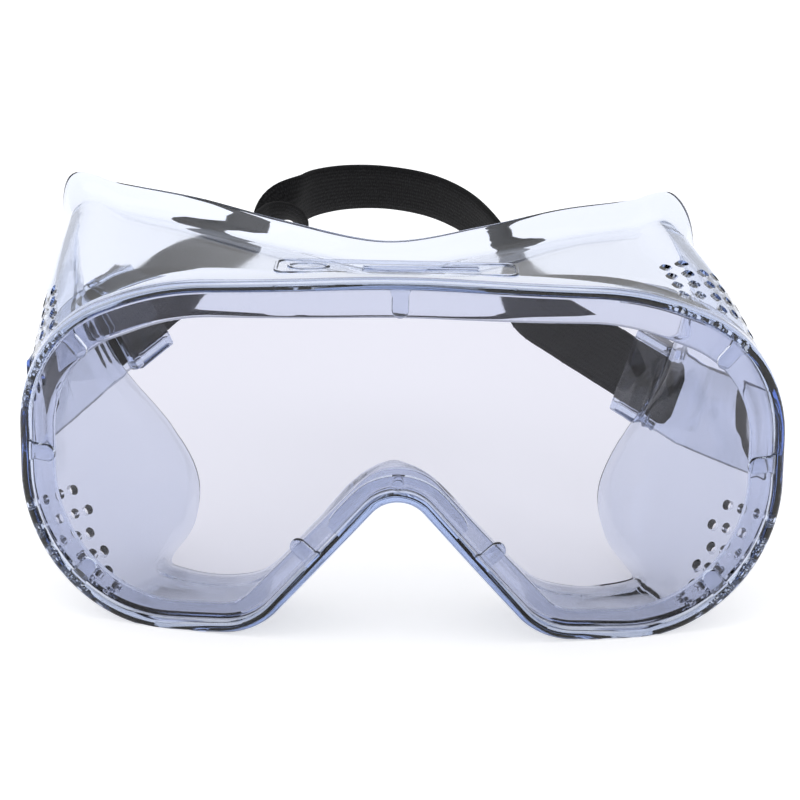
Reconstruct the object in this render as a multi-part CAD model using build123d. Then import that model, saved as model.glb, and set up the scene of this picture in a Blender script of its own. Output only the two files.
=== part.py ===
"""Direct-vent safety goggles: soft moulded body, bowed clear lens and an elastic headband.

X runs to the wearer's left, which is the viewer's right, Y from the lens back to the headband, and Z up.
The goggles stand on the two cheek lobes, at z = 0. While modelling, y = 0 is the front lip at the middle;
at the end everything moves so that the origin is the middle of the footprint.
"""
from build123d import *
import math
import os

# ---------------------------------------------------------------- driving dimensions (mm)
BOW_R = 190.0               # the front of the goggles lies on an upright cylinder of this radius
LIP_T = 2.2                 # wall of the raised lip round the lens
LENS_GAP = 0.2              # side clearance of the lens inside the lip
LENS_FRONT = 1.7            # depth of the lens behind the lip
LENS_BACK = 3.6             # the lens is 1.9 mm thick and rests on the ledge here
RIM_DEPTH = 5.6             # lip to the back of the ledge
WALL_T = 2.0                # soft side walls and their flared face seal
WALL_START = 5.0            # depth at which the side walls leave the rim

# Corners (x, z, radius) of half the front outline and of the window in the ledge, from the top middle
# down to the nose arch; the other half is its mirror image.
OUTLINE = [(0.0, 78.2, 200.0), (49.5, 75.0, 60.0), (80.6, 61.5, 32.0), (81.2, -2.5, 31.0),
           (29.5, 0.9, 17.0), (0.0, 34.6, 6.9)]
WINDOW = [(0.0, 69.4, 200.0), (46.0, 67.4, 45.0), (73.0, 55.5, 24.0), (73.6, 3.4, 26.0),
          (33.5, 6.0, 8.0), (0.0, 43.0, 11.0)]

# Side wall stations round half the body: how far along the front outline, where the wall ends and the
# face seal starts (x, y, z), and how much the seal flares outwards there (degrees).
STATIONS = [
    (0.000, (0.0, 23.5, 75.6), 50.0),
    (0.091, (20.0, 31.0, 77.2), 48.0),
    (0.192, (40.5, 43.0, 79.4), 46.0),
    (0.262, (55.5, 53.0, 80.0), 44.0),
    (0.316, (65.0, 58.0, 81.2), 42.0),
    (0.364, (69.5, 59.5, 73.5), 38.0),
    (0.418, (70.0, 60.5, 58.0), 20.0),
    (0.464, (65.0, 60.5, 41.0), 8.0),
    (0.510, (55.5, 58.0, 27.0), 4.0),
    (0.557, (50.5, 53.0, 17.0), 4.0),
    (0.604, (51.0, 46.0, 8.0), 4.0),
    (0.654, (54.5, 38.5, 1.4), 2.0),
    (0.703, (50.0, 34.0, 0.0), 0.0),
    (0.763, (38.5, 29.0, 0.6), 0.0),
    (0.816, (28.5, 24.5, 4.6), 4.0),
    (0.906, (16.0, 19.0, 18.6), 8.0),
    (0.973, (6.6, 17.0, 29.6), 8.0),
    (1.000, (0.0, 16.5, 32.6), 8.0),
]
SEAL_LENGTH = 6.5           # width of the flared face seal
SIDE_LEAN = 0.00160         # the soft body leans sideways, more with depth and with height
TWIST_LEAN = 0.00036        # and is twisted by the strap, one horn up and the other down

REST_FLAT = 0.3             # the soft lobes are pressed flat by this much where they stand

# Wall regions by station; a minus sign is the left side, so the brow and the nose span both sides.
WALL_REGIONS = {
    "wall_brow": [-3, -2, -1, 0, 1, 2, 3],
    "wall_temple_right": [3, 4, 5, 6, 7],
    "wall_temple_left": [-3, -4, -5, -6, -7],
    "wall_cheek_right": [7, 8, 9, 10, 11, 12],
    "wall_cheek_left": [-7, -8, -9, -10, -11, -12],
    "wall_nose": [-12, -13, -14, -15, -16, 17, 16, 15, 14, 13, 12],
}

# Lens lugs, by place along half the outline
LUG_WIDTH = 3.5
LUG_LENGTH = 8.0
LUG_PLACES = {"brow": 0.335, "side": 0.474, "lobe": 0.618, "nose": 0.900}
NOSE_LIP_REACH = 5.9        # the nose arch has one wide lug across it
NOSE_LIP_HALF = 10.0

# Vents: hole radius, rows of holes back from the rim, then for each wall its field's number of columns,
# first station and spacing in stations, and the share of the wall's depth at the first row and between
# rows. The left temple field sits lower down the side than the right one.
VENT_R = 1.15
VENT_FIELDS = {
    "wall_temple_right": {"columns": 5, "rows": 4, "start": 3.16, "step": 0.41, "first": 0.10, "pitch": 0.105},
    "wall_temple_left": {"columns": 5, "rows": 4, "start": 4.75, "step": 0.42, "first": 0.06, "pitch": 0.09},
    "wall_cheek_right": {"columns": 6, "rows": 3, "start": 8.55, "step": 0.48, "first": 0.09, "pitch": 0.10},
    "wall_cheek_left": {"columns": 6, "rows": 3, "start": 8.55, "step": 0.48, "first": 0.09, "pitch": 0.10},
}
VENT_TOOL = 8.0             # length of the drilling tool, 5 mm of it inside the wall

# Blank label plaque on the brow wall: width, depth, place and height above the wall
PLAQUE_W = 50.0
PLAQUE_D = 10.5
PLAQUE_Y = 14.5
PLAQUE_H = 0.5
PLAQUE_X = -1.2

# Strap: 15 mm elastic, held in a sleeve at the end of each temple arm
STRAP_W = 15.0
STRAP_T = 1.6
SLOT_GAP = 2.4              # clear height of the sleeve, for the strap's thickness
SLOT_W = 16.2               # clear width of the sleeve
SLEEVE_LENGTH = 12.0
SLEEVE_WALL = 2.0
ARM_T = 2.2
ARM_H = 20.4
ARM_ROOT_T = 1.2            # the arm thins out where it grows from the side wall
ARM_RUN_IN = 9.0            # straight end of the temple arm, in front of the crossbar
TAIL_LENGTH = 5.5           # cut end that shows in front of the sleeve
HINGE_AT = 24.0             # the headband bends about a line this far behind the crossbars
BEND_R = 7.9                # room for the strap's width where it bends
BEND_GAP = 0.3

# Each side: the middle of the arm's end at the crossbar, the strap's way out, the crossbar's upward way
# and where the arm leaves the side wall.
SLEEVES = {
    "right": {"at": (61.5, 72.5, 36.0), "out": (-0.55, 0.82, 0.15), "up": (0.30, 0.03, 0.95),
              "root": (78.6, 28.0, 39.2)},
    "left": {"at": (-70.0, 73.5, 47.0), "out": (0.55, 0.76, 0.35), "up": (-0.42, -0.12, 0.90),
             "root": (-80.0, 28.0, 42.5)},
}

# Headband route between the two bends, as it stands up behind the body
BAND_ROUTE = [(38.0, 101.0, 43.0), (28.5, 115.0, 46.0), (24.0, 130.0, 50.5), (21.5, 144.0, 55.5),
              (14.5, 157.0, 60.0), (4.5, 166.5, 63.0), (-7.5, 170.5, 64.5), (-20.0, 168.0, 65.0),
              (-31.0, 159.5, 64.5), (-37.5, 147.0, 63.0), (-41.0, 131.0, 61.0), (-44.5, 115.0, 59.0),
              (-50.0, 101.0, 57.0)]
BAND_UP = (0.0, -0.52, 0.85)


# ---------------------------------------------------------------- helpers
def largest(shape):
    """The biggest solid of a shape, without the slivers that a cut leaves."""
    return max(shape.solids(), key=lambda solid: solid.volume)


# ---------------------------------------------------------------- outlines
def rounded_loop(corners):
    """Straight runs and tangent arcs through a half outline and its mirror image, from the top middle.

    A piece is (start, turning centre, radius, start angle, turn), and a straight run is
    (start, end).
    """
    mirrored = [(-x, z, r) for x, z, r in reversed(corners[1:-1])]
    loop = corners + mirrored
    arcs = []
    for i, (x, z, r) in enumerate(loop):
        before = Vector(*loop[i - 1][:2]) - Vector(x, z)
        after = Vector(*loop[(i + 1) % len(loop)][:2]) - Vector(x, z)
        half_angle = math.radians(before.get_angle(after)) / 2
        reach = r / math.tan(half_angle)
        start = Vector(x, z) + before.normalized() * reach
        end = Vector(x, z) + after.normalized() * reach
        centre = Vector(x, z) + (before.normalized() + after.normalized()).normalized() * (
            r / math.sin(half_angle))
        angle = math.atan2(start.Y - centre.Y, start.X - centre.X)
        turn = math.atan2(end.Y - centre.Y, end.X - centre.X) - angle
        turn = (turn + math.pi) % (2 * math.pi) - math.pi
        arcs.append((centre, r, angle, turn, start, end))
    pieces = []
    centre, r, angle, turn, start, end = arcs[0]
    pieces.append((centre, r, angle + turn / 2, turn / 2))
    for i, arc in enumerate(arcs):
        following = arcs[(i + 1) % len(arcs)]
        pieces.append((arc[5], following[4]))
        if i + 1 < len(arcs):
            pieces.append(following[:4])
    pieces.append((centre, r, angle, turn / 2))
    return pieces


def piece_length(piece):
    if len(piece) == 2:
        return (piece[1] - piece[0]).length
    return abs(piece[1] * piece[3])


def piece_point(piece, share):
    """Point and outward normal, as (x, z) vectors, at a share of the piece's length."""
    if len(piece) == 2:
        run = (piece[1] - piece[0]).normalized()
        return piece[0] + (piece[1] - piece[0]) * share, Vector(-run.Y, run.X)
    centre, radius, angle, turn = piece
    at = angle + turn * share
    ray = Vector(math.cos(at), math.sin(at))
    return centre + ray * radius, ray if turn < 0 else ray * -1


def along(pieces, share):
    """Point and outward normal at a share of half the outline, from the top middle to the nose."""
    target = share * sum(piece_length(p) for p in pieces) / 2
    for piece in pieces:
        length = piece_length(piece)
        if target <= length + 1e-9:
            return piece_point(piece, target / length)
        target -= length
    return piece_point(pieces[-1], 1.0)


def outline_face(pieces):
    """Flat face in the XZ plane at y = 0."""
    edges = []
    for piece in pieces:
        ends = [piece_point(piece, share)[0] for share in (0.0, 0.5, 1.0)]
        a, b, c = [Vector(p.X, 0, p.Y) for p in ends]
        edges.append(Edge.make_line(a, c) if len(piece) == 2 else Edge.make_three_point_arc(a, b, c))
    return Face(Wire(edges))


# ---------------------------------------------------------------- the bowed front
def bow_y(x, depth=0.0):
    """Y of the bowed front surface, at a depth behind the lip."""
    return BOW_R - math.sqrt((BOW_R - depth) ** 2 - x * x)


def bowed_layer(face, front, back):
    """The part of a flat outline between two depths of the bow."""
    block = Solid.extrude(face.translate((0, -2, 0)), Vector(0, 40, 0))
    outer = Solid.make_cylinder(BOW_R - front, 200, Plane((0, BOW_R, -50)))
    inner = Solid.make_cylinder(BOW_R - back, 200, Plane((0, BOW_R, -50)))
    return (block & outer) - inner


def inset(face, distance):
    """The face made smaller by a distance all round."""
    return Face(face.outer_wire().offset_2d(-distance, kind=Kind.INTERSECTION))


def front_rim(outline, window):
    lip = bowed_layer(outline, 0.0, RIM_DEPTH) - bowed_layer(inset(outline, LIP_T), -1.0, RIM_DEPTH + 1)
    ledge = bowed_layer(inset(outline, LIP_T - 0.2), LENS_BACK, RIM_DEPTH)
    ledge = ledge - bowed_layer(window, LENS_BACK - 1, RIM_DEPTH + 1)
    return lip + ledge


def lens(outline):
    return bowed_layer(inset(outline, LIP_T + LENS_GAP), LENS_FRONT, LENS_BACK)


def lens_lug(pieces, place, side, rim):
    """Round-ended finger that reaches from the lip over the lens."""
    point, normal = along(pieces, place)
    base = Vector(point.X * side, 0, point.Y)
    inwards = Vector(-normal.X * side, 0, -normal.Y)
    across = inwards.cross(Vector(0, 1, 0))
    half = LUG_WIDTH / 2
    neck = LUG_LENGTH - half
    start = base + inwards * (LIP_T - 0.05)
    corners = [start + across * half, base + inwards * neck + across * half,
               base + inwards * LUG_LENGTH,
               base + inwards * neck - across * half, start - across * half]
    edges = [Edge.make_line(corners[0], corners[1]),
             Edge.make_three_point_arc(corners[1], corners[2], corners[3]),
             Edge.make_line(corners[3], corners[4]),
             Edge.make_line(corners[4], corners[0])]
    return bowed_layer(Face(Wire(edges)), 0.3, LENS_FRONT) - rim


def nose_lip(outline, rim):
    """Wide lug across the nose arch, with the small round mark left by the mould's inlet."""
    band = bowed_layer(outline, 0.3, LENS_FRONT) - bowed_layer(inset(outline, NOSE_LIP_REACH), -1, 3)
    reach = Solid.make_box(2 * NOSE_LIP_HALF, 20, 26, Plane((-NOSE_LIP_HALF, -5, 18)))
    apex = max(v.Z for v in (band & reach).vertices())
    mark = Solid.make_cylinder(1.2, 1.4, Plane((0, -0.3, apex - 1.9), z_dir=(0, 1, 0)))
    return largest((band & reach) + mark - rim)


# ---------------------------------------------------------------- side walls and face seal
def leaned(point):
    """Where the soft body carries a point of the straight design."""
    x, y, z = point
    return Vector(x - SIDE_LEAN * y * z, y, z - TWIST_LEAN * x * y)


def wall_axes(pieces, station, side):
    """Front point, wall end, and the unit directions back along and out of the wall."""
    share, end, flare = station
    point, normal = along(pieces, share)
    front = Vector(point.X * side, bow_y(point.X, WALL_START), point.Y)
    rear = leaned((end[0] * side, end[1], end[2]))
    back = (rear - front).normalized()
    out = Vector(normal.X * side, 0, normal.Y)
    out = (out - back * out.dot(back)).normalized()
    return front, rear, back, out, math.radians(flare)


def wall_section(pieces, station, side):
    """Closed outline across the wall, with the flared seal at its end."""
    front, rear, back, out, flare = wall_axes(pieces, station, side)
    seal = back * math.cos(flare) + out * math.sin(flare)
    seal_in = back * math.sin(flare) - out * math.cos(flare)
    tip = rear + seal * SEAL_LENGTH
    corner = rear - out * WALL_T + back * (WALL_T * math.tan(flare / 2))
    return Wire.make_polygon([front, rear, tip, tip + seal_in * WALL_T, corner, front - out * WALL_T])


def loft_stations(section, pieces, numbers):
    """Smooth solid through the sections of the numbered stations."""
    sections = [section(pieces, STATIONS[abs(i)], -1 if i < 0 else 1) for i in numbers]
    return Solid.make_loft(sections, ruled=False)


def wall_point(pieces, station, share, side):
    """Point on the outside of the wall between two stations, and the way out of it."""
    low = min(int(station), len(STATIONS) - 2)
    blend = station - low
    ends = [wall_axes(pieces, STATIONS[i], side) for i in (low, low + 1)]
    spots = [front + (rear - front) * share for front, rear, back, out, flare in ends]
    outs = [end[3] for end in ends]
    return (spots[0] + (spots[1] - spots[0]) * blend,
            (outs[0] + (outs[1] - outs[0]) * blend).normalized())


def vents(pieces, field, side):
    """Drilling tools for one field of vent holes."""
    tools = []
    for column in range(field["columns"]):
        for row in range(field["rows"]):
            stagger = 0.5 * (column % 2)
            share = field["first"] + field["pitch"] * (row + stagger)
            station = field["start"] + field["step"] * column
            spot, out = wall_point(pieces, station, share, side)
            tools.append(Solid.make_cylinder(VENT_R, VENT_TOOL, Plane(spot - out * 5, z_dir=out)))
    return tools


def walls(pieces, rim):
    """Wall nodes by region, with their vents."""
    nodes = {}
    for name, numbers in WALL_REGIONS.items():
        node = loft_stations(wall_section, pieces, numbers)
        if name in VENT_FIELDS:
            node = node - vents(pieces, VENT_FIELDS[name], -1 if name.endswith("left") else 1)
        nodes[name] = largest(node - rim)
    return nodes


# ---------------------------------------------------------------- temple arms, sleeves and strap
def sleeve_axes(hand):
    """Crossbar middle and the unit directions out along the strap, up and inwards to the head."""
    data = SLEEVES[hand]
    out = Vector(*data["out"]).normalized()
    up = Vector(*data["up"])
    up = (up - out * up.dot(out)).normalized()
    inward = out.cross(up) * (-1 if hand == "right" else 1)
    return Vector(*data["at"]), out, up, inward


def slab(hand, a, b, c):
    """Box in the sleeve's own directions: (from, to) out along the strap, up, and inwards."""
    at, out, up, inward = sleeve_axes(hand)
    corners = [at + out * a[i] + up * b[j] for i, j in ((0, 0), (1, 0), (1, 1), (0, 1))]
    base = Wire.make_polygon([p + inward * c[0] for p in corners])
    return Solid.extrude(Face(base), inward * (c[1] - c[0]))


def temple_arm(hand, cutters):
    """Flat arm from the side wall to the end of the sleeve; it is also the sleeve's outer plate."""
    at, out, up, inward = sleeve_axes(hand)
    root = Vector(*SLEEVES[hand]["root"])
    upright = Vector(0, 0, 1)
    side = Vector(1, 0, 0) * (1 if hand == "left" else -1)
    run_in = at - out * ARM_RUN_IN
    frames = [(root, upright, side * ARM_ROOT_T), (run_in, up, inward * ARM_T), (at, up, inward * ARM_T)]
    sections = []
    for centre, high, thick in frames:
        tall = high * (ARM_H / 2)
        deep = thick / 2
        sections.append(Wire.make_polygon([centre + tall + deep, centre - tall + deep,
                                           centre - tall - deep, centre + tall - deep]))
    arm = Solid.make_loft(sections, ruled=True)
    arm = arm + slab(hand, (0, SLEEVE_LENGTH), (-ARM_H / 2, ARM_H / 2), (-ARM_T / 2, ARM_T / 2))
    for cutter in cutters:
        arm = arm - cutter
    return largest(arm)


def sleeve(hand):
    """Inner plate with the walls above and below the strap."""
    inner = ARM_T / 2 + SLOT_GAP
    plate = slab(hand, (0, SLEEVE_LENGTH), (-ARM_H / 2, ARM_H / 2), (inner, inner + SLEEVE_WALL))
    top = slab(hand, (0, SLEEVE_LENGTH), (SLOT_W / 2, ARM_H / 2), (ARM_T / 2, inner + 0.1))
    bottom = slab(hand, (0, SLEEVE_LENGTH), (-ARM_H / 2, -SLOT_W / 2), (ARM_T / 2, inner + 0.1))
    return plate + top + bottom


def crossbar(hand):
    """Raised bar along the front edge of the sleeve's inner plate."""
    inner = ARM_T / 2 + SLOT_GAP
    return slab(hand, (-1.6, 0), (-ARM_H / 2 + 0.8, ARM_H / 2 - 0.8), (inner, inner + SLEEVE_WALL + 0.8))


def strap_line(hand, distance):
    """Middle of the strap, a distance behind the crossbar."""
    at, out, up, inward = sleeve_axes(hand)
    return at + out * distance + inward * (ARM_T / 2 + SLOT_GAP / 2)


def bend_axis():
    """Two ends of the line about which the headband bends at the sleeves."""
    return strap_line("right", HINGE_AT), strap_line("left", HINGE_AT)


def bend_cylinder(radius):
    right, left = bend_axis()
    way = (left - right).normalized()
    return Solid.make_cylinder(radius, (left - right).length + 60, Plane(right - way * 30, z_dir=way))


def strap_end(hand):
    """Strap through the sleeve, with its cut tail showing in front."""
    middle = ARM_T / 2 + SLOT_GAP / 2
    thick = (middle - STRAP_T / 2, middle + STRAP_T / 2)
    end = slab(hand, (-TAIL_LENGTH, HINGE_AT), (-STRAP_W / 2, STRAP_W / 2), thick)
    end = end - bend_cylinder(BEND_R + BEND_GAP)
    return largest(end)


def band_frames():
    """Middle, upward and sideways directions of the headband at each point of its route."""
    right, left = bend_axis()
    points = [right] + [Vector(*p) for p in BAND_ROUTE] + [left]
    ups = [sleeve_axes("right")[2]] + [Vector(*BAND_UP)] * len(BAND_ROUTE) + [sleeve_axes("left")[2]]
    ups[1] = (ups[0] + ups[1]).normalized()
    ups[-2] = (ups[-1] + ups[-2]).normalized()
    frames = []
    for i, point in enumerate(points):
        run = points[min(i + 1, len(points) - 1)] - points[max(i - 1, 0)]
        if i == 0:
            run = sleeve_axes("right")[1]
        if i == len(points) - 1:
            run = sleeve_axes("left")[1] * -1
        run = run.normalized()
        up = (ups[i] - run * ups[i].dot(run)).normalized()
        frames.append((point, up, run.cross(up)))
    return frames


def headband():
    """The strap from one bend round to the other, rounded at the bends."""
    sections = []
    for point, up, side in band_frames():
        tall = up * (STRAP_W / 2)
        deep = side * (STRAP_T / 2)
        sections.append(Wire.make_polygon([point + tall + deep, point - tall + deep,
                                           point - tall - deep, point + tall - deep]))
    band = Solid.make_loft(sections, ruled=True)
    middle = ARM_T / 2 + SLOT_GAP / 2
    thick = (middle - STRAP_T / 2, middle + STRAP_T / 2)
    for hand in ("right", "left"):
        stub = slab(hand, (HINGE_AT - BEND_R - 1, HINGE_AT), (-STRAP_W / 2, STRAP_W / 2), thick)
        band = band + (stub & bend_cylinder(BEND_R))
    return band


# ---------------------------------------------------------------- label
def plaque_section(pieces, station, side):
    """Thin strip on the outside of the brow wall."""
    front, rear, back, out, flare = wall_axes(pieces, station, side)
    near = front + (rear - front) * 0.12
    far = front + (rear - front) * 0.92
    return Wire.make_polygon([near - out * 0.5, far - out * 0.5,
                              far + out * PLAQUE_H, near + out * PLAQUE_H])


def label_plaque(pieces, brow):
    """Blank raised frame on the brow wall, with a plain ring and two bars."""
    layer = loft_stations(plaque_section, pieces, [-2, -1, 0, 1, 2])
    middle = Plane((PLAQUE_X, PLAQUE_Y, 60))
    frame = RectangleRounded(PLAQUE_W, PLAQUE_D, 2.5) - RectangleRounded(PLAQUE_W - 1.6, PLAQUE_D - 1.6, 1.8)
    ring = Pos(-18, 0) * (Ellipse(4.4, 3.0) - Ellipse(3.6, 2.2))
    bars = [Pos(5, dy) * Rectangle(24, 1.0) for dy in (-1.5, 1.5)]
    shapes = [layer & extrude(middle * drawn, 40) for drawn in [frame, ring] + bars]
    return Compound([largest(shape - brow) for shape in shapes])


# ---------------------------------------------------------------- build
def build():
    pieces = rounded_loop(OUTLINE)
    outline = outline_face(pieces)
    window = outline_face(rounded_loop(WINDOW))
    rim = front_rim(outline, window)
    nodes = {"front_rim": rim, "lens": lens(outline)}
    nodes["lens_lug_top"] = lens_lug(pieces, 0.0, 1, rim)
    for name, place in LUG_PLACES.items():
        for side, hand in ((1, "right"), (-1, "left")):
            nodes[f"lens_lug_{name}_{hand}"] = lens_lug(pieces, place, side, rim)
    nodes["lens_lug_nose_arch"] = nose_lip(outline, rim)
    wall_nodes = walls(pieces, rim)
    nodes.update(wall_nodes)
    nodes["label_plaque"] = label_plaque(pieces, wall_nodes["wall_brow"])
    for hand in ("right", "left"):
        cutters = [wall_nodes["wall_temple_" + hand], wall_nodes["wall_cheek_" + hand]]
        nodes["temple_arm_" + hand] = temple_arm(hand, cutters)
        nodes["strap_sleeve_" + hand] = sleeve(hand)
        nodes["strap_crossbar_" + hand] = crossbar(hand)
        nodes["strap_end_" + hand] = strap_end(hand)
    nodes["headband"] = headband()
    under = Solid.make_box(400, 400, 20, Plane((-200, -100, REST_FLAT - 20)))
    for name in ("front_rim", "wall_cheek_right", "wall_cheek_left", "wall_nose"):
        nodes[name] = largest(nodes[name] - under)
    return nodes


def main():
    os.makedirs("parts", exist_ok=True)
    nodes = build()
    box = Compound(list(nodes.values())).bounding_box()
    shift = Vector(-box.center().X, -box.center().Y, -box.min.Z)
    print("shift", shift, "box", box.min, box.max)
    for end in bend_axis():
        print("bend axis", end + shift)
    for name, node in nodes.items():
        export_step(node.translate(shift), f"parts/{name}.step")


main()
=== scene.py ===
"""Safety goggles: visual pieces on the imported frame, in metres in the row frame."""
import math

import bmesh
import bpy
from mathutils import Matrix, Vector
from mathutils.bvhtree import BVHTree


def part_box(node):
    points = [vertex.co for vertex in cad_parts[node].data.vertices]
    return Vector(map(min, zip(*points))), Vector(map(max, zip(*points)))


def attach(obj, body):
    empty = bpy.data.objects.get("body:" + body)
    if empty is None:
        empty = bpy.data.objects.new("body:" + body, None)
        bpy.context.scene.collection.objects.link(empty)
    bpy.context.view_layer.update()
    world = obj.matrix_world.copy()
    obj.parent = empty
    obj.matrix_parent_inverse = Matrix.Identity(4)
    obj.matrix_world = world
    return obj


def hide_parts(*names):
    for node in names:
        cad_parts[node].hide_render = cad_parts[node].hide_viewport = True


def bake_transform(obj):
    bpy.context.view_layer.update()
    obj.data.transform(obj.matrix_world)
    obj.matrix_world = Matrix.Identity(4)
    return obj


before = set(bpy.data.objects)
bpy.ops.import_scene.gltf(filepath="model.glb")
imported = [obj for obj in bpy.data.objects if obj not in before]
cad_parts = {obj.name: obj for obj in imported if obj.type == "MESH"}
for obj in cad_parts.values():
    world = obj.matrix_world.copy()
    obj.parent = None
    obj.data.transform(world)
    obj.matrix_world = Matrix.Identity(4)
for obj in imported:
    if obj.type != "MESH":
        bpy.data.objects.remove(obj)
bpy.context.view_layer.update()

# The body is drawn in millimetres with the front of the lip at y = 0, and then carried to the frame.
LIP_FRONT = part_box("front_rim")[0][1]
REST_FLAT = 0.3


def row(point):
    """Metres in the row frame, from drawing millimetres."""
    return Vector((point[0] * 0.001, point[1] * 0.001 + LIP_FRONT, (point[2] - REST_FLAT) * 0.001))


# ---------------------------------------------------------------- sizes
# These match the CAD, apart from SEAL_TIP, LEFT_FLARE, BULGE, STRAP_T, BAND_UP_RIGHT
# and the left of BAND_ROUTE.
BOW_R = 190.0
LIP_T = 2.2
LENS_GAP = 0.2
LENS_FRONT = 1.7
LENS_BACK = 3.6
RIM_DEPTH = 5.6
WALL_T = 2.0
WALL_START = 5.0
SEAL_LENGTH = 6.5
SEAL_TIP = [(0.0, 1.8), (0.3, 1.8), (0.37, 1.7), (0.47, 0.9), (0.6, 0.9), (1.0, 0.9)]
SIDE_LEAN = 0.0016
TWIST_LEAN = 0.00036
OUTLINE = [
    (0, 78.2, 200), (49.5, 75, 60), (80.6, 61.5, 32), (81.2, -2.5, 31), (29.5, 0.9, 17), (0, 34.6, 6.9)]
WINDOW = [(0, 69.4, 200), (46, 67.4, 45), (73, 55.5, 24), (73.6, 3.4, 26), (33.5, 6, 8), (0, 43, 11)]
STATIONS = [
    (0.000, (0, 23.5, 75.6), 50), (0.091, (20, 31, 77.2), 48), (0.192, (40.5, 43, 79.4), 46),
    (0.262, (55.5, 53, 80), 44), (0.316, (65, 58, 81.2), 42), (0.364, (69.5, 59.5, 73.5), 38),
    (0.418, (70, 60.5, 58), 20), (0.464, (65, 60.5, 41), 8), (0.510, (55.5, 58, 27), 4),
    (0.557, (50.5, 53, 17), 4), (0.604, (51, 46, 8), 4), (0.654, (54.5, 38.5, 1.4), 2),
    (0.703, (50, 34, 0), 0), (0.763, (38.5, 29, 0.6), 0), (0.816, (28.5, 24.5, 4.6), 4),
    (0.906, (16, 19, 18.6), 8), (0.973, (6.6, 17, 29.6), 8), (1.000, (0, 16.5, 32.6), 8)]
LEFT_FLARE = {0.316: 34, 0.364: 18, 0.418: 8}
BULGE = [(0.0, 0.0), (0.25, 0.3), (0.36, 1.6), (0.5, 2.0), (0.62, 1.2), (0.75, 0.3), (1.0, 0.0)]
LUG_HALF = 1.75
LUG_LENGTH = 8.0
LUG_PLACES = [0.335, 0.474, 0.618, 0.900]
VENT_R = 1.15
VENT_FIELDS = [
    {"side": 1, "start": 3.16, "step": 0.41, "columns": 5, "rows": 4, "first": 0.10, "pitch": 0.105},
    {"side": -1, "start": 4.75, "step": 0.42, "columns": 5, "rows": 4, "first": 0.06, "pitch": 0.09},
    {"side": 1, "start": 8.55, "step": 0.48, "columns": 6, "rows": 3, "first": 0.09, "pitch": 0.10},
    {"side": -1, "start": 8.55, "step": 0.48, "columns": 6, "rows": 3, "first": 0.09, "pitch": 0.10}]
STRAP_W = 15.0
STRAP_T = 1.5
SLOT_GAP = 2.4
SLOT_HALF = 8.1
SLEEVE_LENGTH = 12.0
SLEEVE_WALL = 2.0
ARM_T = 2.2
ARM_HALF = 10.2
ARM_RUN_IN = 9.0
TAIL = 5.5
HINGE_AT = 24.0
SLEEVES = {
    "right": {"at": (61.5, 72.5, 36.0), "out": (-0.55, 0.82, 0.15), "up": (0.30, 0.03, 0.95),
              "root": (78.6, 28.0, 39.2)},
    "left": {"at": (-70.0, 73.5, 47.0), "out": (0.55, 0.76, 0.35), "up": (-0.42, -0.12, 0.90),
             "root": (-80.0, 28.0, 42.5)}}
BAND_ROUTE = [
    (38.0, 101.0, 43.0), (28.5, 115.0, 46.0), (24.0, 130.0, 50.5), (21.5, 144.0, 55.5),
    (14.5, 157.0, 60.0), (4.5, 166.5, 63.0), (-7.5, 170.5, 64.5), (-19.0, 167.5, 65.0),
    (-28.0, 159.5, 64.5), (-33.0, 147.0, 63.0), (-37.5, 131.0, 61.0), (-43.0, 115.0, 59.0),
    (-50.0, 101.0, 57.0)]
BAND_UP = (0.0, -0.52, 0.85)
BAND_UP_RIGHT = [(0.28, -0.05, 0.96), (0.2, -0.15, 0.95), (0.1, -0.3, 0.93)]


# ---------------------------------------------------------------- camera
CAMERA_UP = 16.0
CAMERA_TURN = -1.4
CAMERA_ROLL = 0.65
CAMERA_AIM = (0.18, 0.0, 53.17)
CAMERA_AWAY = 0.450
CAMERA_LENS = 100.6


def make_camera():
    """Long lens from the front, 16 degrees up and a little to the right."""
    elevation, yaw, roll = (math.radians(a) for a in (CAMERA_UP, CAMERA_TURN, CAMERA_ROLL))
    ahead = Vector((math.sin(yaw) * math.cos(elevation), math.cos(yaw) * math.cos(elevation),
                    -math.sin(elevation)))
    right = Vector((math.cos(yaw), -math.sin(yaw), 0.0))
    up = right.cross(ahead)
    side = right * math.cos(roll) + up * math.sin(roll)
    top = up * math.cos(roll) - right * math.sin(roll)
    target = row(CAMERA_AIM)
    data = bpy.data.cameras.new("camera")
    data.lens = CAMERA_LENS
    data.sensor_width = 36.0
    data.clip_start = 0.01
    camera = bpy.data.objects.new("camera", data)
    turn = Matrix((side, top, -ahead)).transposed()
    camera.matrix_world = Matrix.Translation(target - ahead * CAMERA_AWAY) @ turn.to_4x4()
    bpy.context.scene.collection.objects.link(camera)
    bpy.context.scene.camera = camera


make_camera()


# ---------------------------------------------------------------- outlines and smooth curves
def rounded_pieces(corners):
    """Half outline from the top middle to the nose, as straight runs and arcs."""
    loop = corners + [(-x, z, r) for x, z, r in reversed(corners[1:-1])]
    arcs = []
    for i, (x, z, r) in enumerate(loop[:len(corners)]):
        here = Vector((x, z))
        before = (Vector(loop[i - 1][:2]) - here).normalized()
        after = (Vector(loop[(i + 1) % len(loop)][:2]) - here).normalized()
        half = before.angle(after) / 2
        start, end = here + before * (r / math.tan(half)), here + after * (r / math.tan(half))
        centre = here + (before + after).normalized() * (r / math.sin(half))
        angle = math.atan2(start.y - centre.y, start.x - centre.x)
        turn = math.atan2(end.y - centre.y, end.x - centre.x) - angle
        turn = (turn + math.pi) % (2 * math.pi) - math.pi
        arcs.append((centre, r, angle, turn, start, end))
    first, last = arcs[0], arcs[-1]
    pieces = [(first[0], first[1], first[2] + first[3] / 2, first[3] / 2)]
    for arc, following in zip(arcs, arcs[1:]):
        pieces.append((arc[5], following[4]))
        if following is not last:
            pieces.append(following[:4])
    pieces.append((last[0], last[1], last[2], last[3] / 2))
    return pieces


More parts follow.
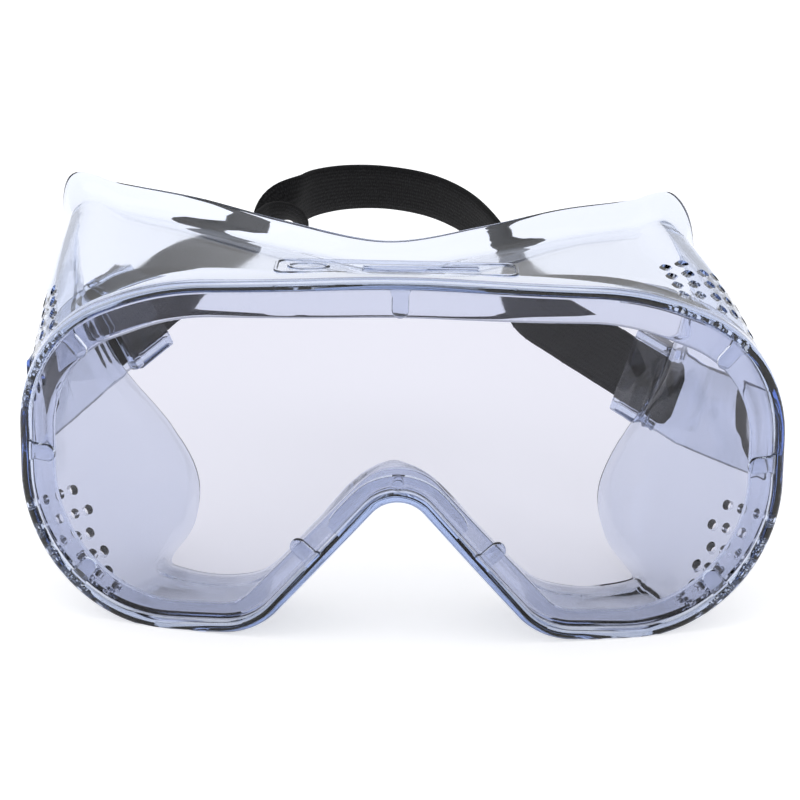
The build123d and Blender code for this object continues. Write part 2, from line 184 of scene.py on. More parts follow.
def piece_length(piece):
    return (piece[1] - piece[0]).length if len(piece) == 2 else abs(piece[1] * piece[3])


def piece_point(piece, share):
    """Point and outward normal, as (x, z) vectors."""
    if len(piece) == 2:
        run = (piece[1] - piece[0]).normalized()
        return piece[0].lerp(piece[1], share), Vector((-run.y, run.x))
    centre, radius, angle, turn = piece
    at = angle + turn * share
    ray = Vector((math.cos(at), math.sin(at)))
    return centre + ray * radius, ray if turn < 0 else -ray


PIECES = rounded_pieces(OUTLINE)
WINDOW_PIECES = rounded_pieces(WINDOW)
LENGTHS = [piece_length(p) for p in PIECES]
HALF_LENGTH = sum(LENGTHS)


def locate(share):
    """Piece number and share of that piece, at a share of half the outline."""
    target = share * HALF_LENGTH
    for i, length in enumerate(LENGTHS):
        if target <= length or i == len(LENGTHS) - 1:
            return i, min(target / length, 1.0)
        target -= length


def outline_at(share):
    number, part = locate(share)
    return piece_point(PIECES[number], part)


def window_at(share):
    number, part = locate(share)
    return piece_point(WINDOW_PIECES[number], part)[0]


def smooth(keys, at, loop=0.0):
    """Cubic curve through (position, value) keys, closed after `loop` when it is given."""
    if loop:
        keys = [(k - loop, v) for k, v in keys[-2:]] + keys + [(k + loop, v) for k, v in keys[:2]]
    i = 0
    while i < len(keys) - 2 and keys[i + 1][0] < at:
        i += 1
    (k0, v0), (k1, v1) = keys[i], keys[i + 1]
    before = keys[i - 1] if i > 0 else keys[i]
    after = keys[i + 2] if i + 2 < len(keys) else keys[i + 1]
    gap = k1 - k0
    slope0 = (v1 - before[1]) * (gap / (k1 - before[0]))
    slope1 = (after[1] - v0) * (gap / (after[0] - k0))
    t = (at - k0) / gap
    return (v0 * (2 * t**3 - 3 * t**2 + 1) + slope0 * (t**3 - 2 * t**2 + t)
            + v1 * (3 * t**2 - 2 * t**3) + slope1 * (t**3 - t**2))


def bow_y(x, depth=0.0):
    return BOW_R - math.sqrt((BOW_R - depth) ** 2 - x * x)


def leaned(point):
    """Where the soft body carries a point of the straight design."""
    x, y, z = point
    return Vector((x - SIDE_LEAN * y * z, y, z - TWIST_LEAN * x * y))


def loop_keys(value):
    """Keys round the whole outline: 0 to 1 down the right side, and 1 to 2 up the left."""
    keys = [(s[0], value(s, 1)) for s in STATIONS]
    return keys + [(2 - s[0], value(s, -1)) for s in reversed(STATIONS[1:-1])]


ROOT_KEYS = loop_keys(lambda s, side: leaned((s[1][0] * side, s[1][1], s[1][2])))
FLARE_KEYS = loop_keys(lambda s, side: LEFT_FLARE.get(s[0], s[2]) if side < 0 else s[2])


def fold(u):
    """Share of half the outline, and the side, at a place round the loop."""
    u %= 2.0
    return (u, 1) if u <= 1 else (2 - u, -1)


def rim_point(u, inset, depth):
    share, side = fold(u)
    point, normal = outline_at(share)
    x, z = point - normal * inset
    return Vector((x * side, bow_y(x, depth), z))


def ledge_point(u, from_window, depth):
    """Point on the ledge, at a share of the way out from the window's edge."""
    share, side = fold(u)
    point, normal = outline_at(share)
    x, z = window_at(share).lerp(point - normal * LIP_T, from_window)
    return Vector((x * side, bow_y(x, depth), z))


def wall_axes(u):
    """Front point, wall end, unit directions back along and out of the wall, flare angle and bulge."""
    share, side = fold(u)
    point, normal = outline_at(share)
    front = Vector((point.x * side, bow_y(point.x, WALL_START), point.y))
    rear = smooth(ROOT_KEYS, u % 2.0, 2.0)
    back = (rear - front).normalized()
    out = Vector((normal.x * side, 0, normal.y))
    out = (out - back * out.dot(back)).normalized()
    return front, rear, back, out, math.radians(smooth(FLARE_KEYS, u % 2.0, 2.0)), smooth(BULGE, share)


def wall_outside(u, share):
    """Point on the outside of the wall, and the way out of it."""
    front, rear, _, out, _, bulge = wall_axes(u)
    return front.lerp(rear, share) + out * (bulge * math.sin(math.pi * share)), out


def bend(a, corner, b, count):
    """Points along a rounded corner."""
    for i in range(count + 1):
        t = i / count
        yield a * (1 - t) ** 2 + corner * (2 * t * (1 - t)) + b * t**2


def body_section(u):
    """Closed outline across the moulding: lip, ledge, wall and flared seal."""
    front, rear, back, out, flare, _ = wall_axes(u)
    wall = (rear - front).length
    lip = [(0.0, 4.2), (0.0, 2.6), (0.0, 1.1), (0.22, 0.42), (0.62, 0.06), (1.1, 0.0), (1.58, 0.06),
           (1.98, 0.42), (2.2, 1.1), (2.2, 2.4), (2.2, 3.3), (2.3, LENS_BACK)]
    section = [rim_point(u, inset, depth) for inset, depth in lip]
    ledge = [(0.8, 3.6), (0.55, 3.6), (0.3, 3.6), (0.09, 3.6), (0.02, 3.75), (0.0, 4.1), (0.0, 5.1),
             (0.02, 5.45), (0.09, 5.6), (0.3, 5.6), (0.6, 5.6)]
    section += [ledge_point(u, share, depth) for share, depth in ledge]
    inner_front = rim_point(u, WALL_T + 0.9, RIM_DEPTH)
    section.append(inner_front)
    spans = (0.12, 0.25, 0.4, 0.55, 0.7, 0.85)
    for share in spans:
        section.append(wall_outside(u, share)[0] - out * WALL_T)
    seal = back * math.cos(flare) + out * math.sin(flare)
    inward = back * math.sin(flare) - out * math.cos(flare)
    tip = rear + seal * SEAL_LENGTH
    corner = rear - out * WALL_T + back * (WALL_T * math.tan(flare / 2))
    section += bend(corner - back * 2.2, corner, corner + seal * 2.2, 4)
    edge = tip + inward * smooth(SEAL_TIP, fold(u)[0])
    section += [edge - seal * 2.0 + inward * 0.25, edge - seal * 0.8]
    section += bend(edge - seal * 0.35, edge, edge - inward * 0.4, 2)
    section += bend(tip + inward * 0.4, tip, tip - seal * 0.35, 2)
    section += [tip - seal * 1.6]
    section += bend(rear + seal * 2.4, rear, rear - back * 2.4, 4)
    for share in reversed(spans):
        section.append(wall_outside(u, share)[0])
    section.append(wall_outside(u, 0.6 / wall)[0])
    for point in section:
        point.z = max(point.z, REST_FLAT)
    return section


LOOP_STEP = 1.3
ARC_STEP = 5


def loop_places():
    """Places round the loop, closer together where the outline turns sharply."""
    half = []
    done = 0.0
    for piece, length in zip(PIECES, LENGTHS):
        count = math.ceil(length / LOOP_STEP)
        if len(piece) == 4:
            count = max(count, math.ceil(math.degrees(abs(piece[3])) / ARC_STEP))
        half += [(done + length * i / count) / HALF_LENGTH for i in range(count)]
        done += length
    return half + [1.0] + [2 - u for u in reversed(half[1:])]


# ---------------------------------------------------------------- mesh helpers
def new_object(name, vertices, faces, materials=()):
    mesh = bpy.data.meshes.new(name)
    mesh.from_pydata([row(v) for v in vertices], [], faces)
    tool = bmesh.new()
    tool.from_mesh(mesh)
    bmesh.ops.recalc_face_normals(tool, faces=tool.faces)
    tool.to_mesh(mesh)
    tool.free()
    for material in materials:
        mesh.materials.append(material)
    obj = bpy.data.objects.new(name, mesh)
    bpy.context.scene.collection.objects.link(obj)
    return obj


def skin(sections, closed):
    """Vertices and faces of a tube through equal sections, capped unless it is closed."""
    count = len(sections[0])
    vertices = [p for section in sections for p in section]
    faces = []
    for i in range(len(sections) if closed else len(sections) - 1):
        a, b = i * count, ((i + 1) % len(sections)) * count
        faces += [(a + j, a + (j + 1) % count, b + (j + 1) % count, b + j) for j in range(count)]
    if not closed:
        faces += [tuple(range(count)), tuple(range(len(vertices) - count, len(vertices)))]
    return vertices, faces


def merge_meshes(parts):
    """One list of vertices and faces from several."""
    vertices, faces = [], []
    for more, their_faces in parts:
        base = len(vertices)
        vertices += more
        faces += [tuple(i + base for i in face) for face in their_faces]
    return vertices, faces


def combine(obj, tool, operation):
    """Exact boolean of two closed meshes; the tool is used up."""
    modifier = obj.modifiers.new("combine", "BOOLEAN")
    modifier.object = tool
    modifier.operation = operation
    modifier.solver = "EXACT"
    graph = bpy.context.evaluated_depsgraph_get()
    mesh = bpy.data.meshes.new_from_object(obj.evaluated_get(graph))
    obj.modifiers.clear()
    obj.data = mesh
    bpy.data.objects.remove(tool)


def rounded_box(corner, a, b, c, radius):
    """Box along three vectors from a corner, with its edges rounded off."""
    tool = bmesh.new()
    points = [corner + a * i + b * j + c * k for i in (0, 1) for j in (0, 1) for k in (0, 1)]
    spots = [tool.verts.new(p) for p in points]
    for face in ((0, 1, 3, 2), (4, 6, 7, 5), (0, 4, 5, 1), (2, 3, 7, 6), (0, 2, 6, 4), (1, 5, 7, 3)):
        tool.faces.new([spots[i] for i in face])
    bmesh.ops.recalc_face_normals(tool, faces=tool.faces)
    if radius:
        bmesh.ops.bevel(tool, geom=tool.edges[:], offset=radius, segments=3, profile=0.5, affect="EDGES")
    tool.verts.index_update()
    result = ([v.co.copy() for v in tool.verts], [tuple(v.index for v in f.verts) for f in tool.faces])
    tool.free()
    return result


def shade_smooth(obj, angle=35.0):
    """Smooth shading that keeps edges sharper than an angle."""
    mesh = obj.data
    tool = bmesh.new()
    tool.from_mesh(mesh)
    bmesh.ops.remove_doubles(tool, verts=tool.verts, dist=2e-6)
    for face in tool.faces:
        face.smooth = True
    for edge in tool.edges:
        sharp = len(edge.link_faces) != 2 or edge.calc_face_angle(0.0) > math.radians(angle)
        edge.smooth = not sharp
    tool.to_mesh(mesh)
    tool.free()


# ---------------------------------------------------------------- materials
class Shader:
    """A node material with its Principled shader."""

    def __init__(self, name):
        self.material = bpy.data.materials.new(name)
        self.material.use_nodes = True
        self.tree = self.material.node_tree
        self.bsdf = self.tree.nodes["Principled BSDF"]
        self.output = self.tree.nodes["Material Output"]

    def node(self, kind, **settings):
        node = self.tree.nodes.new(kind)
        for key, value in settings.items():
            setattr(node, key, value)
        return node

    def link(self, a, b):
        self.tree.links.new(a, b)

    def noise(self, source, scale, detail=3.0):
        noise = self.node("ShaderNodeTexNoise")
        noise.inputs["Scale"].default_value = scale
        noise.inputs["Detail"].default_value = detail
        self.link(source, noise.inputs["Vector"])
        return noise.outputs["Fac"]

    def spread(self, value, low, high):
        """The value from 0.3 to 0.7 spread from low to high."""
        spread = self.node("ShaderNodeMapRange")
        spread.inputs["From Min"].default_value = 0.3
        spread.inputs["From Max"].default_value = 0.7
        spread.inputs["To Min"].default_value = low
        spread.inputs["To Max"].default_value = high
        self.link(value, spread.inputs["Value"])
        return spread.outputs["Result"]

    def bump(self, height, distance, strength=1.0):
        bump = self.node("ShaderNodeBump")
        bump.inputs["Distance"].default_value = distance
        bump.inputs["Strength"].default_value = strength
        self.link(height, bump.inputs["Height"])
        self.link(bump.outputs["Normal"], self.bsdf.inputs["Normal"])


def clear_plastic(name, ior, colour, tint, density, rough, wave):
    """Clear plastic: smooth glass with a coloured inside, faint ripples and uneven gloss."""
    shader = Shader(name)
    shader.bsdf.inputs["Transmission Weight"].default_value = 1.0
    shader.bsdf.inputs["IOR"].default_value = ior
    shader.bsdf.inputs["Base Color"].default_value = (*colour, 1.0)
    place = shader.node("ShaderNodeTexCoord").outputs["Object"]
    gloss = shader.spread(shader.noise(place, 140.0), rough[0], rough[1])
    shader.link(gloss, shader.bsdf.inputs["Roughness"])
    if wave:
        shader.bump(shader.noise(place, 55.0, 1.0), wave)
    inside = shader.node("ShaderNodeVolumeAbsorption")
    inside.inputs["Color"].default_value = (*tint, 1.0)
    inside.inputs["Density"].default_value = density
    shader.link(inside.outputs["Volume"], shader.output.inputs["Volume"])
    return shader.material


def woven_elastic(name):
    """Black elastic: fine ribs along the strap crossed by picks, with a dull sheen."""
    shader = Shader(name)
    place = shader.node("ShaderNodeUVMap", uv_map="weave").outputs["UV"]
    waves = []
    for direction, count in (("X", 0.55), ("Y", 0.45)):
        wave = shader.node("ShaderNodeTexWave", bands_direction=direction)
        wave.inputs["Scale"].default_value = count
        wave.inputs["Distortion"].default_value = 2.5
        wave.inputs["Detail"].default_value = 2.0
        wave.inputs["Detail Scale"].default_value = 3.0
        shader.link(place, wave.inputs["Vector"])
        waves.append(wave.outputs["Fac"])
    weave = shader.node("ShaderNodeMath", operation="MULTIPLY")
    shader.link(waves[0], weave.inputs[0])
    shader.link(waves[1], weave.inputs[1])
    speckle = shader.noise(place, 2.2, 2.0)
    grain = shader.node("ShaderNodeMath", operation="MULTIPLY_ADD")
    shader.link(speckle, grain.inputs[0])
    grain.inputs[1].default_value = 1.1
    faint = shader.node("ShaderNodeMath", operation="MULTIPLY")
    faint.inputs[1].default_value = 0.3
    shader.link(weave.outputs[0], faint.inputs[0])
    shader.link(faint.outputs[0], grain.inputs[2])
    ramp = shader.node("ShaderNodeValToRGB")
    ramp.color_ramp.elements[0].position = 0.45
    ramp.color_ramp.elements[0].color = (0.0035, 0.0035, 0.004, 1.0)
    ramp.color_ramp.elements[1].position = 0.95
    ramp.color_ramp.elements[1].color = (0.024, 0.024, 0.025, 1.0)
    shader.link(grain.outputs[0], ramp.inputs["Fac"])
    shader.link(ramp.outputs["Color"], shader.bsdf.inputs["Base Color"])
    shader.link(shader.spread(speckle, 0.75, 0.95), shader.bsdf.inputs["Roughness"])
    shader.bsdf.inputs["Sheen Weight"].default_value = 0.04
    shader.bsdf.inputs["Sheen Roughness"].default_value = 0.4
    shader.bsdf.inputs["Specular IOR Level"].default_value = 0.15
    shader.bump(grain.outputs[0], 0.00025, 0.8)
    return shader.material


SURFACE = (0.82, 0.845, 0.915)
INSIDE = (0.36, 0.53, 0.86)
INSIDE_DENSITY = 48.0
LENS_SURFACE = (0.93, 0.93, 0.95)
LENS_INSIDE = (0.20, 0.20, 0.40)
LENS_DENSITY = 200.0
LENS_IOR = 1.3                  # lower than polycarbonate's, to keep the reflections faint
PVC = clear_plastic("clear_soft_pvc", 1.5, SURFACE, INSIDE, INSIDE_DENSITY, (0.01, 0.05), 0.00004)
LENS = clear_plastic(
    "clear_polycarbonate", LENS_IOR, LENS_SURFACE, LENS_INSIDE, LENS_DENSITY, (0.0, 0.012), 0.0)
STRAP = woven_elastic("black_woven_elastic")
BODY_MATERIALS = (PVC,)


# ---------------------------------------------------------------- the moulded body
def finger(u):
    """Round-ended lug that reaches from the lip over the lens."""
    share, side = fold(u)
    point, normal = outline_at(share)
    across = Vector((normal.y, -normal.x))
    neck = LUG_LENGTH - LUG_HALF
    shape = [(LIP_T - 1.2, -LUG_HALF - 0.5), (LIP_T + 0.1, -LUG_HALF - 0.4), (LIP_T + 0.9, -LUG_HALF)]
    shape += [(neck + LUG_HALF * math.sin(t), -LUG_HALF * math.cos(t))
              for t in (math.pi * i / 10 for i in range(11))]
    shape += [(LIP_T + 0.9, LUG_HALF), (LIP_T + 0.1, LUG_HALF + 0.4), (LIP_T - 1.2, LUG_HALF + 0.5)]
    layers = []
    for depth, shrink in ((1.62, 0.0), (0.75, 0.0), (0.45, 0.10), (0.3, 0.38)):
        layer = []
        for reach, offset in shape:
            scale = 1 - shrink / LUG_HALF
            spot = point - normal * (neck + (reach - neck) * scale) + across * (offset * scale)
            layer.append(Vector((spot.x * side, bow_y(spot.x, depth), spot.y)))
        layers.append(layer)
    return skin(layers, False)


def nose_lug():
    """Wide lug across the nose arch; make_body adds the mark that the mould's inlet leaves."""
    places = [0.935 + 0.130 * i / 24 for i in range(25)]
    sections = []
    for u in places:
        edge = min(places.index(u), 24 - places.index(u))
        reach = 5.9 - (0.9, 0.35, 0.1, 0.0)[min(edge, 3)]
        shape = [(1.2, 1.62), (reach, 1.62), (reach, 0.8), (reach - 0.12, 0.45), (reach - 0.4, 0.3),
                 (1.2, 0.3)]
        sections.append([rim_point(u, inset, depth) for inset, depth in shape])
    return skin(sections, False)


def stud(centre, way, radius, length, count=20):
    """Plain round plug."""
    way = way.normalized()
    side = way.orthogonal().normalized()
    other = way.cross(side)
    ring = [side * (radius * math.cos(t)) + other * (radius * math.sin(t))
            for t in (2 * math.pi * i / count for i in range(count))]
    return skin([[centre + p - way * (length / 2) for p in ring],
                 [centre + p + way * (length / 2) for p in ring]], False)


def vent_plugs():
    plugs = []
    for field in VENT_FIELDS:
        for column in range(field["columns"]):
            for line in range(field["rows"]):
                share = field["first"] + field["pitch"] * (line + 0.5 * (column % 2))
                station = field["start"] + field["step"] * column
                low = min(int(station), len(STATIONS) - 2)
                place = STATIONS[low][0] + (STATIONS[low + 1][0] - STATIONS[low][0]) * (station - low)
                spot, out = wall_outside(place if field["side"] == 1 else 2 - place, share)
                plugs.append(stud(spot - out, out, VENT_R, 7.0, 18))
    return merge_meshes(plugs)


def sleeve_axes(hand):
    """Crossbar middle and the unit directions out along the strap, up and inwards."""
    data = SLEEVES[hand]
    out = Vector(data["out"]).normalized()
    up = Vector(data["up"])
    up = (up - out * up.dot(out)).normalized()
    inward = out.cross(up) * (-1 if hand == "right" else 1)
    return Vector(data["at"]), out, up, inward


def rounded_bar(centre, tall, thick, radius):
    """Section of a flat bar with rounded edges: half height vector and half thickness vector."""
    half_tall, half_thick = tall.length, thick.length
    a, b = tall.normalized(), thick.normalized()
    radius = min(radius, half_thick * 0.98)
    points = []
    for i, (sa, sb) in enumerate(((1, 1), (1, -1), (-1, -1), (-1, 1))):
        for j in range(4):
            t = math.pi / 2 * j / 3
            if i % 2 == 0:
                t = math.pi / 2 - t
            points.append(centre + a * (sa * (half_tall - radius + radius * math.sin(math.pi / 2 - t)))
                          + b * (sb * (half_thick - radius + radius * math.sin(t))))
    return points


def temple_arm(hand):
    """Flat arm from the side wall that is also the sleeve's outer plate."""
    at, out, up, inward = sleeve_axes(hand)
    root = Vector(SLEEVES[hand]["root"])
    side = Vector((1, 0, 0)) * (1 if hand == "left" else -1)
    start, end = at - out * ARM_RUN_IN, at + out * SLEEVE_LENGTH
    frames = [(root, Vector((0, 0, 1)), side, 1.3)]
    for i in range(1, 9):
        t = i / 9
        frames.append((root.lerp(start, t), Vector((0, 0, 1)).lerp(up, t).normalized(),
                       side.lerp(inward, t).normalized(), 1.3 + (ARM_T - 1.3) * t))
    frames += [(start, up, inward, ARM_T), (at, up, inward, ARM_T), (end, up, inward, ARM_T)]
    bars = [rounded_bar(c, tall * ARM_HALF, thick * (t / 2), 0.7) for c, tall, thick, t in frames]
    return skin(bars, False)


def sleeve_block(hand):
    """Inner plate and the walls above and below the strap."""
    at, out, up, inward = sleeve_axes(hand)
    depth = ARM_T / 2 + SLOT_GAP + SLEEVE_WALL + 0.6
    corner = at - up * ARM_HALF - inward * 0.6 + out * 0.15
    return rounded_box(corner, out * (SLEEVE_LENGTH - 0.3), up * (2 * ARM_HALF), inward * depth, 0.6)


def sleeve_slot(hand):
    at, out, up, inward = sleeve_axes(hand)
    corner = at - up * SLOT_HALF + inward * (ARM_T / 2) - out * 3
    return rounded_box(corner, out * (SLEEVE_LENGTH + 6), up * (2 * SLOT_HALF), inward * SLOT_GAP, 0.4)


def sleeve_bar(hand):
    at, out, up, inward = sleeve_axes(hand)
    inner = ARM_T / 2 + SLOT_GAP
    tall = ARM_HALF - 0.8
    corner = at - up * tall + inward * (inner + 0.05) - out * 1.6
    return rounded_box(corner, out * 2.4, up * (2 * tall), inward * (SLEEVE_WALL + 0.75), 0.5)


PLAQUE_AT = (-1.2, 14.5)
ABOVE_BROW = 140.0              # height that the search for the brow's surface starts from


def surface_strip(tree, loops):
    """Thin raised ring between two loops drawn in plan on the brow wall."""
    def lift(x, y, height):
        start = row((x, y, ABOVE_BROW))
        spot, normal, _, _ = tree.ray_cast(start, Vector((0, 0, -1)))
        spot = spot + normal * (height * 0.001)
        return Vector((spot.x * 1000, (spot.y - LIP_FRONT) * 1000, spot.z * 1000 + REST_FLAT))
    outer, inner = loops
    sections = []
    for a, b in zip(outer, inner):
        c, d = [a[i] + (b[i] - a[i]) * 0.25 for i in (0, 1)], [a[i] + (b[i] - a[i]) * 0.75 for i in (0, 1)]
        sections.append([lift(*a, -0.4), lift(*a, 0.2), lift(*c, 0.42), lift(*d, 0.42), lift(*b, 0.2),
                         lift(*b, -0.4)])
    return skin(sections, True)


def rounded_rectangle(cx, cy, half_w, half_d, radius, count=6):
    loop = []
    for k, (sx, sy) in enumerate(((1, 1), (-1, 1), (-1, -1), (1, -1))):
        for i in range(count + 1):
            t = math.pi / 2 * (k + i / count)
            loop.append((cx + sx * (half_w - radius) + radius * math.cos(t),
                         cy + sy * (half_d - radius) + radius * math.sin(t)))
    return loop


def ellipse(cx, cy, a, b, count=36):
    turns = [2 * math.pi * i / count for i in range(count)]
    return [(cx + a * math.cos(t), cy + b * math.sin(t)) for t in turns]


def plaque(body):
    """Blank label: a raised frame with a plain ring and two bars."""
    tree = BVHTree.FromObject(body, bpy.context.evaluated_depsgraph_get())
    cx, cy = PLAQUE_AT
    rings = [(rounded_rectangle(cx, cy, 25, 5.25, 2.5), rounded_rectangle(cx, cy, 24.2, 4.45, 1.7)),
             (ellipse(cx - 18, cy, 4.4, 3.0), ellipse(cx - 18, cy, 3.7, 2.3))]
    for dy in (-1.5, 1.5):
        rings.append((rounded_rectangle(cx + 5, cy + dy, 12, 0.55, 0.5),
                      rounded_rectangle(cx + 5, cy + dy, 11.6, 0.15, 0.1)))
    return merge_meshes([surface_strip(tree, ring) for ring in rings])


def make_body():
    sections = [body_section(u) for u in loop_places()]
    body = new_object("moulded_body", *skin(sections, True), BODY_MATERIALS)
    label = plaque(body)
    combine(body, new_object("plugs", *vent_plugs(), BODY_MATERIALS), "DIFFERENCE")
    additions = [finger(0.0)] + [finger(u) for place in LUG_PLACES for u in (place, 2 - place)]
    additions.append(nose_lug())
    combine(body, new_object("lugs", *merge_meshes(additions), BODY_MATERIALS), "UNION")
    apex = rim_point(1.0, 4.0, 1.0)
    combine(body, new_object("inlet", *stud(apex, Vector((0, 1, 0)), 1.2, 2.6), BODY_MATERIALS), "UNION")
    combine(body, new_object("label", *label, BODY_MATERIALS), "UNION")
    for hand in ("right", "left"):
        arm = new_object("arm", *temple_arm(hand), BODY_MATERIALS)
        block = new_object("block", *sleeve_block(hand), BODY_MATERIALS)
        bar = new_object("bar", *sleeve_bar(hand), BODY_MATERIALS)
        combine(block, bar, "UNION")
        combine(arm, block, "UNION")
        combine(arm, new_object("slot", *sleeve_slot(hand), BODY_MATERIALS), "DIFFERENCE")
        combine(body, arm, "UNION")
    shade_smooth(body)
    body.data.materials.clear()
    for material in BODY_MATERIALS:
        body.data.materials.append(material)
    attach(body, "goggle_body")
    names = [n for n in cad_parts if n.startswith(
        ("front_rim", "lens_lug", "wall_", "label_plaque", "temple_arm", "strap_sleeve", "strap_crossbar"))]
    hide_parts(*names)


# ---------------------------------------------------------------- lens
LENS_SLICE = 2.5
LENS_SLICES = 31                # each side of the middle


def make_lens():
    """Bowed sheet with rounded edges inside the groove of the lip."""
    gap = LIP_T + LENS_GAP
    edge = [(gap + 0.25, LENS_BACK - 0.02), (gap + 0.05, LENS_BACK - 0.25), (gap, 2.65),
            (gap + 0.05, LENS_FRONT + 0.25), (gap + 0.25, LENS_FRONT + 0.02)]
    sheet = bmesh.new()
    rings = []
    for inset, depth in edge:
        ring = []
        for u in loop_places():
            share, side = fold(u)
            point, normal = outline_at(share)
            x, z = point - normal * inset
            ring.append(sheet.verts.new((x * side, depth, z)))
        rings.append(ring)
    count = len(rings[0])
    for one, two in zip(rings, rings[1:]):
        for i in range(count):
            j = (i + 1) % count
            sheet.faces.new((one[i], one[j], two[j], two[i]))
    sheet.faces.new(rings[0])
    sheet.faces.new(rings[-1])
    for i in range(-LENS_SLICES, LENS_SLICES + 1):
        everything = sheet.verts[:] + sheet.edges[:] + sheet.faces[:]
        bmesh.ops.bisect_plane(sheet, geom=everything, plane_co=(i * LENS_SLICE, 0, 0), plane_no=(1, 0, 0))
    sheet.verts.index_update()
    vertices = [Vector((v.co.x, bow_y(v.co.x, v.co.y), v.co.z)) for v in sheet.verts]
    faces = [tuple(v.index for v in face.verts) for face in sheet.faces]
    sheet.free()
    lens = new_object("bowed_lens", vertices, faces, (LENS,))
    shade_smooth(lens, 25.0)
    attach(lens, "goggle_body")
    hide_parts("lens")


# ---------------------------------------------------------------- strap
BEHIND_SLEEVE = 17.0
STRAP_STEP = 1.2
STRAP_CORNER = 2.6
TWIST_AFTER = 14                # number of the point that the half twist follows
TWIST_START, TWIST_END = 6.0, 34.0


def strap_frames():
    """Middle, upward direction and run of the strap, from the right tail round to the left tail."""
    offset = ARM_T / 2 + SLOT_GAP / 2
    points, ups = [], []
    for hand, marks in (("right", (-TAIL, 0.0, 6.0, SLEEVE_LENGTH, BEHIND_SLEEVE, HINGE_AT)),
                        ("left", (HINGE_AT, BEHIND_SLEEVE, SLEEVE_LENGTH, 6.0, 0.0, -TAIL))):
        at, out, up, inward = sleeve_axes(hand)
        points += [at + out * a + inward * offset for a in marks]
        ups += [up] * len(marks)
        if hand == "right":
            points += [Vector(p) for p in BAND_ROUTE]
            ups += [Vector(p) for p in BAND_UP_RIGHT]
            ups += [Vector(BAND_UP)] * (len(BAND_ROUTE) - len(BAND_UP_RIGHT))
    places = [0.0]
    for a, b in zip(points, points[1:]):
        places.append(places[-1] + (b - a).length)
    point_keys, up_keys = list(zip(places, points)), list(zip(places, ups))
    total = places[-1]
    twist_from, twist_to = places[TWIST_AFTER] + TWIST_START, places[TWIST_AFTER] + TWIST_END
    count = math.ceil(total / STRAP_STEP)
    frames = []
    for i in range(count + 1):
        s = total * i / count
        middle = smooth(point_keys, s)
        run = (smooth(point_keys, min(s + 0.3, total)) - smooth(point_keys, max(s - 0.3, 0.0))).normalized()
        up = smooth(up_keys, s)
        up = (up - run * up.dot(run)).normalized()
        t = min(max((s - twist_from) / (twist_to - twist_from), 0.0), 1.0)
        turn = math.pi * t * t * (3 - 2 * t)
        up = Matrix.Rotation(turn, 3, run) @ up
        frames.append((s, middle, up, run.cross(up), min(s, total - s)))
    return frames


def make_strap():
    """One length of flat elastic with rounded cut ends."""
    profile = [(1, 0), (0.985, 0.7), (0.95, 1), (0.6, 1), (0.2, 1), (-0.2, 1), (-0.6, 1), (-0.95, 1),
               (-0.985, 0.7), (-1, 0), (-0.985, -0.7), (-0.95, -1), (-0.6, -1), (-0.2, -1), (0.2, -1),
               (0.6, -1), (0.95, -1), (0.985, -0.7)]
    frames = strap_frames()
    sections, places = [], []
    for s, middle, up, side, from_end in frames:
        corner = max(0.0, STRAP_CORNER - from_end)
        narrow = (STRAP_CORNER - math.sqrt(max(STRAP_CORNER**2 - corner**2, 0.0))) / (STRAP_W / 2)
        width = STRAP_W / 2 * (1 - narrow)
        sections.append([middle + up * (width * a) + side * (STRAP_T / 2 * b) for a, b in profile])
        places.append(s)
    strap = new_object("elastic_strap", *skin(sections, False), (STRAP,))
    shade_smooth(strap, 70.0)
    count = len(profile)
    round_it = [STRAP_W * j / (count / 2) for j in range(count + 1)]
    layer = strap.data.uv_layers.new(name="weave")
    for face in strap.data.polygons:
        spots = [(v // count, v % count) for v in face.vertices]
        wraps = max(j for _, j in spots) - min(j for _, j in spots) > count // 2
        for loop, (i, j) in zip(face.loop_indices, spots):
            j = count if wraps and j == 0 else j
            layer.data[loop].uv = (places[min(i, len(places) - 1)], round_it[j])
    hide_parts("headband", "strap_end_right", "strap_end_left")
    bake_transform(strap)


# ---------------------------------------------------------------- studio
FLOOR_Z = -0.00005              # just under the flats that the goggles stand on


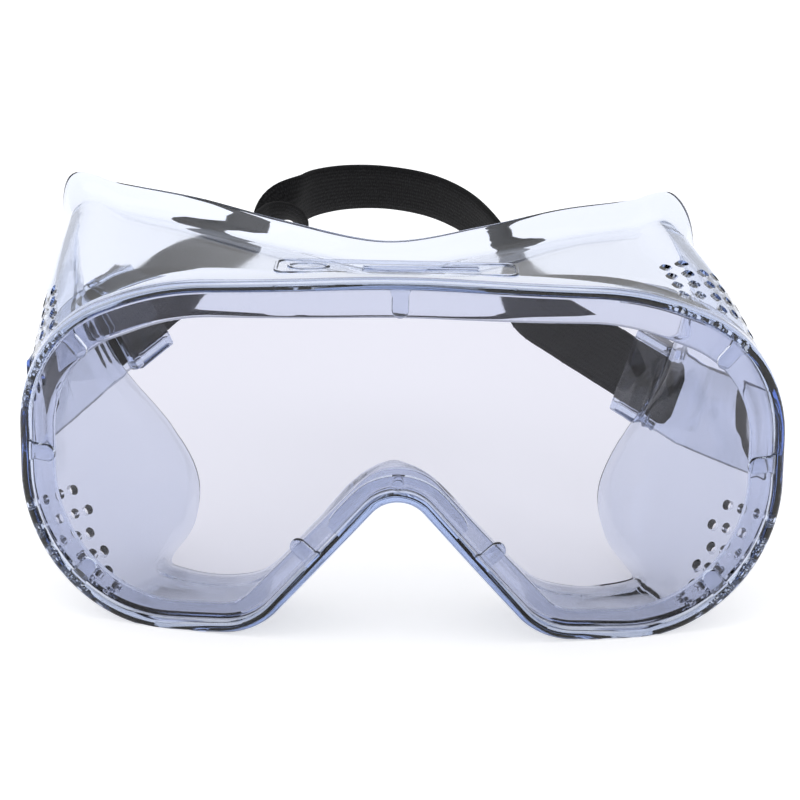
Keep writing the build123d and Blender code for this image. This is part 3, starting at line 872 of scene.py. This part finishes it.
def make_floor():
    """Pale paper floor that runs back to the horizon."""
    line = [(-3.0, FLOOR_Z), (0.0, FLOOR_Z), (8.0, FLOOR_Z)]
    vertices = [Vector((x, y, z)) for y, z in line for x in (-6.0, 6.0)]
    faces = [(2 * i, 2 * i + 1, 2 * i + 3, 2 * i + 2) for i in range(len(line) - 1)]
    mesh = bpy.data.meshes.new("floor")
    mesh.from_pydata(vertices, [], faces)
    shader = Shader("pale_paper")
    place = shader.node("ShaderNodeTexCoord").outputs["Object"]
    ramp = shader.node("ShaderNodeValToRGB")
    ramp.color_ramp.elements[0].color = (0.93, 0.93, 0.935, 1.0)
    ramp.color_ramp.elements[1].color = (0.95, 0.95, 0.955, 1.0)
    shader.link(shader.noise(place, 9.0), ramp.inputs["Fac"])
    shader.link(ramp.outputs["Color"], shader.bsdf.inputs["Base Color"])
    shader.bsdf.inputs["Roughness"].default_value = 0.9
    shader.bsdf.inputs["Emission Color"].default_value = (1.0, 1.0, 1.0, 1.0)
    shader.bsdf.inputs["Emission Strength"].default_value = 0.48
    mesh.materials.append(shader.material)
    floor = bpy.data.objects.new("floor", mesh)
    bpy.context.scene.collection.objects.link(floor)
    for face in mesh.polygons:
        face.use_smooth = True


def area_light(name, place, aim, size, power):
    data = bpy.data.lights.new(name, "AREA")
    data.shape = "RECTANGLE"
    data.size, data.size_y = size
    data.energy = power
    light = bpy.data.objects.new(name, data)
    light.location = place
    light.rotation_euler = (Vector(aim) - Vector(place)).to_track_quat("-Z", "Y").to_euler()
    bpy.context.scene.collection.objects.link(light)


def make_light():
    world = bpy.data.worlds.new("studio")
    world.use_nodes = True
    tree = world.node_tree
    background = tree.nodes["Background"]
    background.inputs["Strength"].default_value = 0.72
    place = tree.nodes.new("ShaderNodeTexCoord").outputs["Generated"]
    split = tree.nodes.new("ShaderNodeSeparateXYZ")
    ramp = tree.nodes.new("ShaderNodeValToRGB")
    span = tree.nodes.new("ShaderNodeMapRange")
    span.inputs["From Min"].default_value = -1.0
    ramp.color_ramp.elements[0].color = (0.84, 0.86, 0.93, 1.0)
    ramp.color_ramp.elements[1].color = (1.0, 1.0, 1.0, 1.0)
    ramp.color_ramp.elements[1].position = 0.6
    tree.links.new(place, split.inputs[0])
    tree.links.new(split.outputs["Y"], span.inputs["Value"])
    tree.links.new(span.outputs["Result"], ramp.inputs["Fac"])
    tree.links.new(ramp.outputs["Color"], background.inputs["Color"])
    bpy.context.scene.world = world
    area_light("overhead", (0.0, 0.1, 1.1), (0.0, 0.0, 0.0), (1.6, 1.2), 1.5)
    area_light("left_box", (-0.9, -0.5, 0.7), (0.0, -0.05, 0.04), (0.6, 0.9), 1.2)


bpy.context.scene.view_settings.view_transform = "Standard"
make_body()
make_lens()
make_strap()
make_floor()
make_light()
